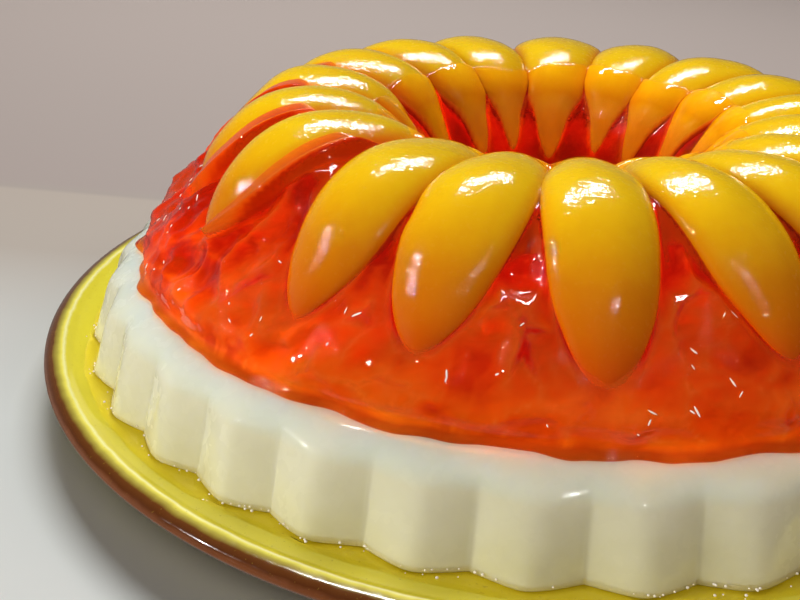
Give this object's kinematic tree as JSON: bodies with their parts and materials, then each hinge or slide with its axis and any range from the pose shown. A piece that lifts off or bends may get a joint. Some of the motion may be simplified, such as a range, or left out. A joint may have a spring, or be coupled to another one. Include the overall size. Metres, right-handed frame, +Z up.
{
  "type": "moulded fruit jelly on a plate",
  "caption": "Ring-moulded jelly turned out on a round yellow plate: a fluted white milk layer under a clear orange ring with peach slices laid over its crest.",
  "frame": {"origin": "under the middle of the plate's foot, on the surface that the plate stands on", "axes": "+Z up along the plate's axis; -Y points towards the side that faces the viewer"},
  "size_m": [0.254, 0.254, 0.0728],
  "materials": {
    "plate_glaze": "glossy yellow reactive glaze that runs to olive and dark brown at the rolled edge",
    "milk_jelly": "wet, faintly translucent white milk jelly",
    "orange_jelly": "wet, clear orange-red fruit jelly, deep red where it is thick",
    "peach": "wet, finely fibrous canned peach flesh"
  },
  "bodies": {
    "root": {"plate": "plate_glaze", "milk_layer": "milk_jelly", "orange_jelly": "orange_jelly", "peach_slice_01": "peach", "peach_slice_02": "peach", "peach_slice_03": "peach", "peach_slice_04": "peach", "peach_slice_05": "peach", "peach_slice_06": "peach", "peach_slice_07": "peach", "peach_slice_08": "peach", "peach_slice_09": "peach", "peach_slice_10": "peach", "peach_slice_11": "peach", "peach_slice_12": "peach", "peach_slice_13": "peach", "peach_slice_14": "peach", "peach_slice_15": "peach", "peach_slice_16": "peach", "peach_slice_17": "peach", "peach_slice_18": "peach"}
  },
  "joints": []
}
